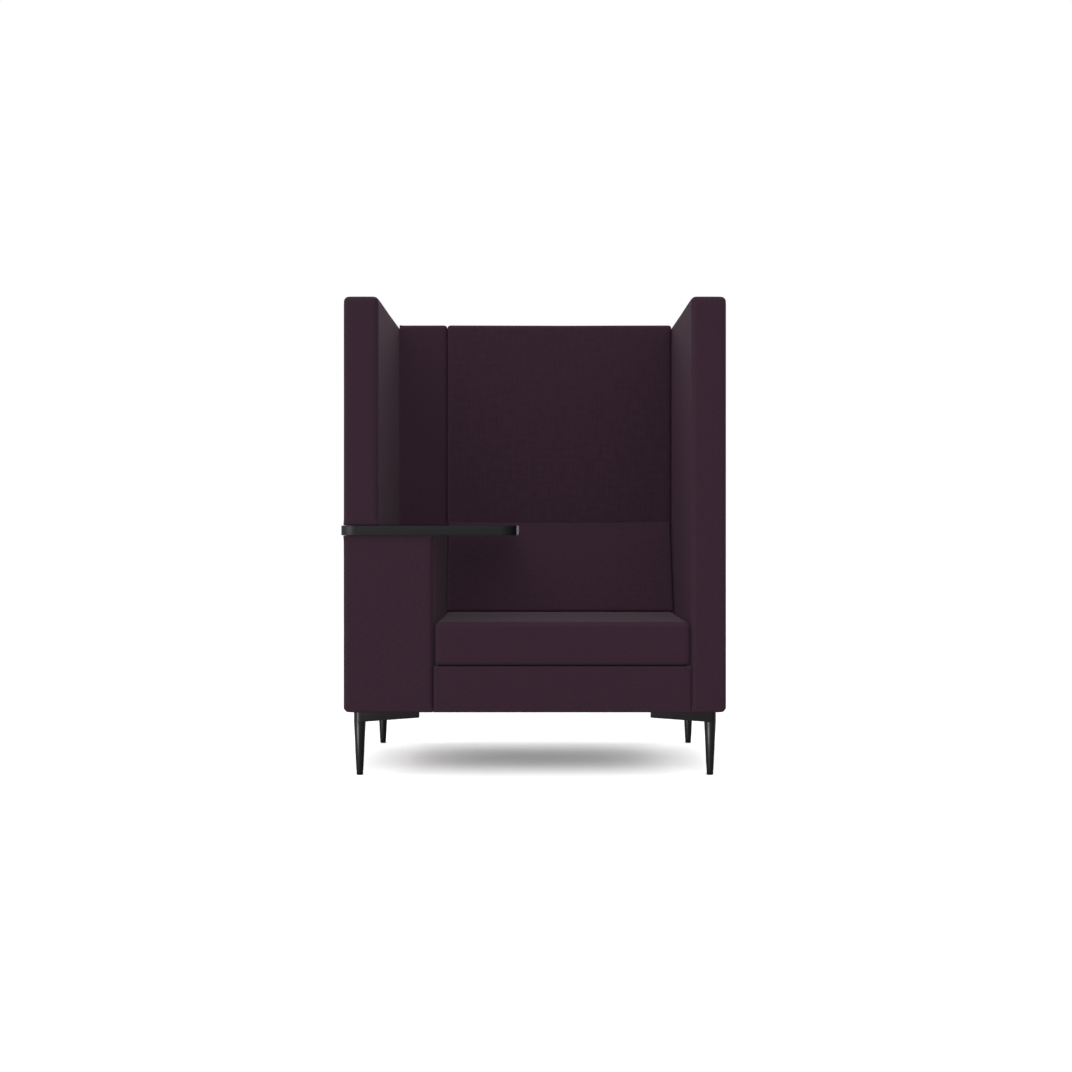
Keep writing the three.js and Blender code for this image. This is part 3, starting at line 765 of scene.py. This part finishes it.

# %% [markdown]
# Panels, arm and seat base
#
# The six modules are timber frames with a foam skin and a stretched cover. The foam is firm, so the faces
# crown by about two millimetres only. Between two modules the round edges leave a narrow dark groove, which
# is what one sees as a joint in the photograph.
#
# A tight side is one that carries or stands on something, and its edges are pressed square, so that no
# light shines through there, but the edge between two soft sides stays round. A mating side touches a
# neighbour along a groove: it stays flat, and its edges stay round. A hidden side gets painted shade in its
# groove.
# The pull of the cloth draws the free edges in, so the blocks start a little larger to the left, to the
# right, downwards and upwards, as the numbers behind grow say, in mm. The top of the seat base starts 2 mm
# lower, because the cushion's weight presses it down.

# %% Panels, arm and seat base
module_crown = 2 * mm
module_cell = 18 * mm
rim_gap = 6 * mm
inner_rise = 5 * mm
lining_low, lining_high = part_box("dust_cover")


def open_below(places):
    # The cloth of the base is stapled round the underside, and inside that rim it ends above the lining.
    open_low, open_high = np.array(lining_low) - rim_gap, np.array(lining_high) + rim_gap
    inside = np.all((places > open_low) & (places < open_high), axis=1)
    places[inside, 2] += inner_rise
    return places


module_covers = {
    "right_panel": {"radius": 15 * mm, "big_axis": 0, "tight": ["z-"], "mates": ["x-"], "hidden": [],
                    "soft": ["x+", "z-"], "firm": ["x-", "z+", 2.6], "grow": (0, 0.9, 0, 2.4)},
    "left_panel": {"radius": 15 * mm, "big_axis": 0, "tight": ["z-"], "mates": ["x+"], "hidden": ["z-"],
                   "firm": ["x+", "z+", 1.4], "grow": (0.9, 0, 0.28, 2.4)},
    "corner_panel": {"radius": 10 * mm, "big_axis": 1, "tight": ["z-", "x-"], "mates": ["x+"],
                     "hidden": ["x-", "x+", "z-"], "soft": ["x-", "y+"], "grow": (0, 0, 0.28, 5)},
    "back_panel": {"radius": 10 * mm, "big_axis": 1, "tight": ["z-"], "mates": ["x-", "x+"],
                   "hidden": ["x-", "x+"], "grow": (0, 0, 0, 5.5)},
    "arm": {"radius": 15 * mm, "big_axis": 0, "tight": ["z-", "z+"], "mates": ["x+"], "hidden": ["z+"],
            "soft": ["x-", "z-"], "grow": (1.2, 0, 0, 0.28)},
    "seat_base": {"radius": 8 * mm, "big_axis": 2, "tight": ["z-", "y+", "z+"], "mates": ["x-", "x+"],
                  "hidden": ["x-", "x+", "z+"], "relax": open_below, "grow": (0, 0, 0, -2)},
}
for module, sizes in module_covers.items():
    low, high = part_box(module + "_cover")
    to_left, to_right, downwards, upwards = sizes.pop("grow")
    low = Vector(low) - Vector((to_left, 0, downwards)) * mm
    high = Vector(high) + Vector((to_right, 0, upwards)) * mm
    make_cover(module, low, high, crown=module_crown, cell=module_cell, fill=1.0, **sizes)

# %% [markdown]
# Seat cushion and lumbar cushion
#
# Both cushions are loose and sewn with a box band. They are softer than the panels, so they swell more. The
# lumbar cushion is a wedge: deep where it stands on the seat and thin at its top. It starts as a block whose
# inside is squeezed towards the back panel with height, which keeps its round edges as round as they were.

# %% Seat cushion
cushion_cell = 11 * mm
cushion_fill = 0.85
seat_top = 444.5 * mm
seat_drop = 2 * mm
seat_free_run = 120 * mm
lumbar_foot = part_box("lumbar_cushion_cover")[0][1]


def press_seat(places):
    # Under the lumbar cushion the seat is pressed flat, and its crown dies out over a short run before it.
    swell = np.maximum(places[:, 2] - seat_top, 0)
    free = np.clip((lumbar_foot - places[:, 1]) / seat_free_run, 0, 1)
    places[:, 2] -= swell * (1 - free * free * (3 - 2 * free))
    return places


low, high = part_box("seat_cushion_cover")
make_cover("seat_cushion", (low[0], low[1], low[2] - seat_drop), (high[0], high[1], seat_top),
           radius=14 * mm, crown=4 * mm, cell=cushion_cell, big_axis=2, fill=cushion_fill, tight=[],
           mates=["y+", "z-"], hidden=["x-", "x+", "z-"], relax=press_seat)

# %% Lumbar cushion
top_depth = 26 * mm
foot_gap = 0.3 * mm


def lean_back(square, block):
    low, high, radius = block
    core, step = step_outwards(square, block)
    inner_low, inner_high = low + radius, high - radius
    climb = (core[:, 2] - inner_low[2]) / (inner_high[2] - inner_low[2])
    deep = inner_high[1] - inner_low[1]
    thin = top_depth - 2 * radius
    depth_here = deep + (thin - deep) * climb
    core[:, 1] = inner_high[1] - (inner_high[1] - core[:, 1]) * depth_here / deep
    return core + step


low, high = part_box("lumbar_cushion_cover")
make_cover("lumbar_cushion", (low[0], low[1], seat_top + foot_gap), high, radius=9 * mm, crown=5 * mm,
           cell=cushion_cell, big_axis=1, fill=cushion_fill, tight=["z-"], mates=["y+"],
           hidden=["x-", "x+", "z-"], turn=0.5, squareness=4, shape=lean_back)

# %% [markdown]
# Writing board
#
# The board is one sheet, cut with round corners and with a notch where it passes beside the back panel. A
# block is cut in two over the edge of the arm, and its rear face there is pulled back to the rear of the arm.
# Bevels on the upright edges round the corners, and a small bevel breaks the rim, as a router does.

# %% Writing board
line_slack = 0.01 * mm
spot_slack = 0.2 * mm


def round_upright(piece, spots, size, segments):
    # The upright edges that pass through these spots, seen from above, are rounded.
    def passes(a, b, edge):
        upright = abs(a.x - b.x) + abs(a.y - b.y) < line_slack
        return upright and any(abs(a.x - x) + abs(a.y - y) < spot_slack for x, y in spots)

    pick_edges(piece, passes)
    bevel_picked(size, segments)


def is_rim(a, b, edge):
    return abs(a.z - b.z) < line_slack and len(edge.link_faces) == 2 and edge.calc_face_angle() > 1.0


board_back_gap = 70 * mm
wide_round = 45 * mm
small_round = 20 * mm
rim_round = 0.8 * mm
(left, front, board_bottom), (right, rear, board_top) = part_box("writing_board")
arm_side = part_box("arm_cover")[1][0]
seat_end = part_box("back_panel_cover")[0][1] - board_back_gap

board = start_block("writing_board_sheet", (left, front, board_bottom), (right, seat_end, board_top))
edit(board)
bpy.ops.mesh.select_all(action="SELECT")
bpy.ops.mesh.bisect(plane_co=(arm_side, 0, 0), plane_no=(1, 0, 0))
pick_faces(board, lambda middle, normal: normal.y > 0.9 and middle.x < arm_side)
extrude_picked(0, rear - seat_end, 0)
round_upright(board, [(left, front), (right, front), (right, seat_end)], wide_round, segments=14)
round_upright(board, [(arm_side, seat_end), (arm_side, rear), (left, rear)], small_round, segments=8)
pick_edges(board, is_rim)
bevel_picked(rim_round, segments=3)
bpy.ops.object.mode_set(mode="OBJECT")
smooth_below(board, 20)
finish_piece(board, laminate, "black_board", "chair", "writing_board")

# %% [markdown]
# Brackets
#
# Each leg is welded to a bracket with two wings that run along the edges of the base and get thinner towards
# their ends. One is modelled at the front left: a square hub, two faces pulled out to wings, round corners by
# bevel, and the ends of the underside lifted. The other three are its mirror images.

# %% One bracket
wing_width = 24 * mm
inner_round = 20 * mm
end_round = 4 * mm
lift_begin = 20 * mm
end_lift = 12 * mm
leg_axis = middle_of("leg_front_left")
(left, front, bracket_bottom), (wing_right, wing_rear, bracket_top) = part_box("leg_bracket_front_left")
hub_right, hub_rear = left + wing_width, front + wing_width

bracket = start_block("bracket_front_left", (left, front, bracket_bottom), (hub_right, hub_rear, bracket_top))
edit(bracket)
pick_faces(bracket, lambda middle, normal: normal.x > 0.9)
extrude_picked(wing_right - hub_right, 0, 0)
pick_faces(bracket, lambda middle, normal: normal.y > 0.9 and middle.x < hub_right)
extrude_picked(0, wing_rear - hub_rear, 0)
round_upright(bracket, [(left, front)], (leg_axis[0] - left) * just_under_share, segments=10)
round_upright(bracket, [(hub_right, hub_rear)], inner_round, segments=8)
wing_ends = [(wing_right, front), (wing_right, hub_rear), (left, wing_rear), (hub_right, wing_rear)]
round_upright(bracket, wing_ends, end_round, segments=4)
bpy.ops.object.mode_set(mode="OBJECT")
places = corners(bracket)
far = np.maximum(places[:, 0] - hub_right, places[:, 1] - hub_rear)
share = np.clip((far - lift_begin) / (wing_right - hub_right - lift_begin - end_round), 0, 1)
underside = places[:, 2] < bracket_bottom + nearby
places[underside, 2] += end_lift * share[underside]
set_corners(bracket, places)
print("bracket corners:", len(places))

# %% [markdown]
# The screw holes
#
# Two round holes go up through the wings from below, so that the heads of the screws lie inside the metal. A
# short round bar at each screw's place is taken away from the bracket with a Boolean.

# %% Screw holes and edges
hole_radius = 6.3 * mm
hole_roof = 177 * mm
drill_length = 40 * mm
bracket_edge = 1.2 * mm

for wing in ("across", "along"):
    centre = middle_of("bracket_screw_front_left_" + wing)
    drill = start_round("drill", bpy.ops.mesh.primitive_cylinder_add, centre, hole_roof - drill_length,
                        drill_length, vertices=24, radius=hole_radius)
    apply_modifier(bracket, "BOOLEAN", object=drill)
    bpy.data.objects.remove(drill)
apply_modifier(bracket, "BEVEL", width=bracket_edge, segments=2, angle_limit=math.radians(40))
smooth_below(bracket, 22)
print("bracket faces:", len(bracket.data.polygons))

# %% Mirror a piece to the other corners
corner_names = ("front_left", "front_right", "rear_left", "rear_right")


def at_corner(piece, corner):
    if corner == "front_left":
        return piece
    axis_here = middle_of("leg_" + corner)
    flip = (-1 if "right" in corner else 1, -1 if "rear" in corner else 1)
    twin = duplicate(piece, piece.name.replace("front_left", corner))
    places = corners(twin)
    for axis in range(2):
        places[:, axis] = axis_here[axis] + flip[axis] * (places[:, axis] - leg_axis[axis])
    set_corners(twin, places)
    if flip[0] * flip[1] < 0:
        edit(twin)
        bpy.ops.mesh.select_all(action="SELECT")
        bpy.ops.mesh.flip_normals()
        bpy.ops.object.mode_set(mode="OBJECT")
    return twin


for corner in corner_names:
    finish_piece(at_corner(bracket, corner), coated_steel, "black_metal", "chair", "leg_bracket_" + corner)

# %% [markdown]
# Legs
#
# The legs are turned steel cones, thick under the bracket and thin at the floor. Each has a spigot on top
# that sits in the bracket and a threaded hole in its foot. One cone gets both by inset and extrude.

# %% One leg
spigot_radius = 5 * mm
spigot_height = 24 * mm
top_radius = 17 * mm
foot_radius = 10.2 * mm
bore_radius = 4.3 * mm
bore_depth = 36 * mm
leg_edge = 0.8 * mm
leg_low, leg_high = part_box("leg_front_left")
leg_length = leg_high[2] - spigot_height - leg_low[2]

leg = start_round("leg_front_left_turned", bpy.ops.mesh.primitive_cone_add, leg_axis, leg_low[2], leg_length,
                  vertices=40, radius1=foot_radius, radius2=top_radius)
edit(leg)
pick_faces(leg, lambda middle, normal: normal.z > 0.9)
bpy.ops.mesh.inset(thickness=top_radius - spigot_radius)
extrude_picked(0, 0, spigot_height)
pick_faces(leg, lambda middle, normal: normal.z < -0.9)
bpy.ops.mesh.inset(thickness=foot_radius - bore_radius)
extrude_picked(0, 0, bore_depth)
bpy.ops.object.mode_set(mode="OBJECT")
apply_modifier(leg, "BEVEL", width=leg_edge, segments=2, angle_limit=math.radians(50))
smooth_below(leg, 35)
print("leg length:", round(leg_length / mm, 1), "mm")

# %% Four legs
for corner in corner_names:
    finish_piece(at_corner(leg, corner), coated_steel, "black_metal", "chair", "leg_" + corner)

# %% [markdown]
# Levelling feet
#
# A foot is a round nylon pad on a steel stud that screws into the leg. The pad's lower edge is rounded so
# that it slides over a carpet. The stud's thread is drawn as plain rings, which look the same from a step
# away.

# %% One foot
pad_height = 12 * mm
pad_round = 3 * mm
pad_edge = 1 * mm
stud_radius = 4 * mm
pitch = 2 * mm
root_share = 0.84
foot_low, foot_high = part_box("glide_front_left")
pad_radius = (foot_high[0] - foot_low[0]) / 2
pad_top = foot_low[2] + pad_height
stud_length = foot_high[2] - foot_low[2] - pad_height

foot = start_round("foot_front_left", bpy.ops.mesh.primitive_cylinder_add, leg_axis, foot_low[2], pad_height,
                   vertices=40, radius=pad_radius)
edit(foot)
pick_edges(foot, lambda a, b, edge: max(a.z, b.z) < foot_low[2] + nearby)
bevel_picked(pad_round, segments=5)
pick_edges(foot, lambda a, b, edge: min(a.z, b.z) > pad_top - nearby)
bevel_picked(pad_edge, segments=2)
pick_faces(foot, lambda middle, normal: normal.z > 0.99 and middle.z > pad_top - nearby)
bpy.ops.mesh.inset(thickness=pad_radius - pad_edge - stud_radius)
rings = int(stud_length / pitch)
for ring in range(rings):
    for share in (root_share, 1 / root_share):
        extrude_picked(0, 0, stud_length / rings / 2)
        bpy.ops.transform.resize(value=(share, share, 1))
bpy.ops.object.mode_set(mode="OBJECT")
smooth_below(foot, 35)
print("foot:", round(2 * pad_radius / mm, 1), "mm across,", rings, "rings on its stud")

# %% Four feet
for corner in corner_names:
    glide = "glide_" + corner
    finish_piece(at_corner(foot, corner), nylon, "black_plastic", glide, glide)

# %% [markdown]
# Lining under the seat
#
# The lining is one piece of non-woven cloth whose edges are turned in and stapled to the frame. A fine grid
# is given a thickness. Its border lies a little lower, as two layers of cloth do, and its field sags.

# %% Lining
hem = 16 * mm
hem_drop = 0.5 * mm
rest_height = 0.9 * mm
sag_depth = 0.35 * mm
sag_run = 60 * mm
ripple_depth = 0.15 * mm
ripple_run = (31 * mm, 43 * mm)
sheet_thickness = 0.4 * mm
middle = (Vector(lining_low) + Vector(lining_high)) / 2
lining_size = Vector(lining_high) - Vector(lining_low)

bpy.ops.object.select_all(action="DESELECT")
bpy.ops.mesh.primitive_grid_add(x_subdivisions=84, y_subdivisions=72, size=1, location=middle)
sheet = bpy.context.object
sheet.name = "dust_cover_lining"
sheet.scale = (lining_size[0], lining_size[1], 1)
bpy.ops.object.transform_apply(location=True, rotation=False, scale=True)
places = corners(sheet)
inwards = np.minimum(places - np.array(lining_low), np.array(lining_high) - places)[:, :2].min(axis=1)
sag = np.clip((inwards - hem) / sag_run, 0, 1)
ripple = np.sin(places[:, 0] / ripple_run[0]) * np.sin(places[:, 1] / ripple_run[1])
places[:, 2] = lining_low[2] + rest_height - sag * (sag_depth + ripple_depth * ripple)
places[inwards < hem, 2] -= hem_drop
set_corners(sheet, places)
apply_modifier(sheet, "SOLIDIFY", thickness=sheet_thickness)
smooth_below(sheet, 35)
finish_piece(sheet, lining, "lining_cloth", "chair", "dust_cover")

# %% Staples
staple_width = 10 * mm
wire = 0.8 * mm
wire_edge = 0.3 * mm
staple_step = 48 * mm
staple_inset = 7 * mm

staple = start_block("lining_staples", (-staple_width / 2, -wire / 2, 0), (staple_width / 2, wire / 2, wire))
apply_modifier(staple, "BEVEL", width=wire_edge, segments=2)
copies = []
for axis in range(2):
    run = lining_size[axis] - 2 * staple_inset
    count = round(run / staple_step)
    spin = Matrix.Rotation(math.pi / 2 * axis, 4, "Z")
    for index in range(count):
        for edge in (lining_low[1 - axis] + staple_inset, lining_high[1 - axis] - staple_inset):
            spot = [0, 0, lining_low[2] - wire / 2]
            spot[axis] = lining_low[axis] + staple_inset + run * (index + 0.5) / count
            spot[1 - axis] = edge
            one = duplicate(staple, "lining_staples")
            one.data.transform(Matrix.Translation(spot) @ spin)
            copies.append(one)
bpy.data.objects.remove(staple)
select_only(copies[0])
for one in copies:
    one.select_set(True)
bpy.ops.object.join()
staples = bpy.context.object
staples.name = "lining_staples"
finish_piece(staples, zinc, "zinc_steel", "chair")
print("staples:", len(copies))

# %% [markdown]
# Screws in the brackets
#
# Each bracket is held by two socket screws whose round heads lie in the holes. They show from below. One head
# with its six-sided socket is modelled on its shank, and all eight are copies of it.

# %% One screw
head_height = 4.5 * mm
shank_radius = 2.5 * mm
socket_depth = 2.5 * mm
head_edge = 0.3 * mm
rim_share = 0.3
slope_share = 0.2
socket_share = 0.45
screw_names = [name for name in nodes if name.startswith("bracket_screw_")]
screw_low, screw_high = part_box(screw_names[0])
screw_axis = middle_of(screw_names[0])
head_radius = (screw_high[0] - screw_low[0]) / 2

screw = start_round("screw", bpy.ops.mesh.primitive_cylinder_add, screw_axis, screw_low[2], head_height,
                    vertices=36, radius=head_radius)
edit(screw)
pick_faces(screw, lambda middle, normal: normal.z > 0.9)
bpy.ops.mesh.inset(thickness=head_radius - shank_radius)
extrude_picked(0, 0, screw_high[2] - screw_low[2] - head_height)
pick_faces(screw, lambda middle, normal: normal.z < -0.9)
bpy.ops.mesh.inset(thickness=head_radius * rim_share)
bpy.ops.mesh.inset(thickness=head_radius * slope_share)
extrude_picked(0, 0, socket_depth)
bpy.ops.object.mode_set(mode="OBJECT")
# The innermost rings are pressed to a hexagon.
places = corners(screw)
offset = places[:, :2] - np.array(screw_axis)
apart = np.hypot(offset[:, 0], offset[:, 1])
angle = np.arctan2(offset[:, 1], offset[:, 0])
in_ring = apart < head_radius * (1 - rim_share - slope_share) + nearby
in_socket = in_ring & (places[:, 2] < screw_low[2] + head_height - nearby)
from_flat = (angle + math.pi / 6) % (math.pi / 3) - math.pi / 6
hexagon = head_radius * socket_share / np.cos(from_flat)
scale = np.where(in_socket, hexagon / np.maximum(apart, 1e-6), 1.0)
places[:, :2] = np.array(screw_axis) + offset * scale[:, None]
set_corners(screw, places)
apply_modifier(screw, "BEVEL", width=head_edge, segments=2, angle_limit=math.radians(50))
smooth_below(screw, 35)
print("screw head:", round(2 * head_radius / mm, 1), "mm across")

# %% Eight screws
for name in screw_names:
    one = duplicate(screw, "socket_screw" + name.removeprefix("bracket_screw"))
    one.data.transform(Matrix.Translation(Vector(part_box(name)[0]) - Vector(screw_low)))
    finish_piece(one, zinc, "zinc_steel", "chair", name)
bpy.data.objects.remove(screw)

# %% [markdown]
# Light for the black pieces
#
# Black gloss shows what it mirrors and little else. A photographer sets up strips of light for it, which give
# the round legs a narrow highlight and the end of the board a bright line. These lamps light the black pieces
# only, and the fills for the cloth leave them alone, or their edges would turn grey.

# %% Light for the black pieces
def new_pieces(*starts):
    return [thing for thing in bpy.data.objects if thing.name not in nodes and thing.name.startswith(starts)]


metals = new_pieces("bracket_front", "bracket_rear", "leg_front", "leg_rear")
not_cloth = [floor, board, *metals, *new_pieces("foot_")]
cloth_only = light_group("fill_light_for_cloth_only", not_cloth, "EXCLUDE")
for lamp in (fill_right, rim_back_right, rim_back):
    lamp.light_linking.receiver_collection = cloth_only
on_metals = light_group("light_for_legs_and_brackets", metals, "INCLUDE")
on_board = light_group("light_for_the_board", [board], "INCLUDE")
add_fill("strip_for_legs", (-0.588, -0.809, 0.0), 7.5, 16, on_metals)
add_fill("edge_for_legs", (0.9, 0.5, 0.0), 0.3, 20, on_metals)
add_fill("strip_for_board", (-0.766, -0.643, 0.0), 4.8, 30, on_board)
add_fill("edge_for_board", (0.15, 0.99, 0.05), 0.85, 20, on_board)

# %% [markdown]
# Hidden pieces
#
# The frames, the webbing, the bolts and the studs keep the shapes of their CAD nodes. They get a finish that
# is right for what they are, because they show when the chair is taken apart.

# %% Hidden pieces
hidden_finishes = {"_frame": softwood, "webbing_strap": webbing, "joining_bolt": zinc, "board_stud": zinc}
hidden_pieces = 0
for name, node in nodes.items():
    for key, finish in hidden_finishes.items():
        if key in name:
            node.data.materials.clear()
            node.data.materials.append(finish)
            hidden_pieces += 1
print("hidden pieces:", hidden_pieces)
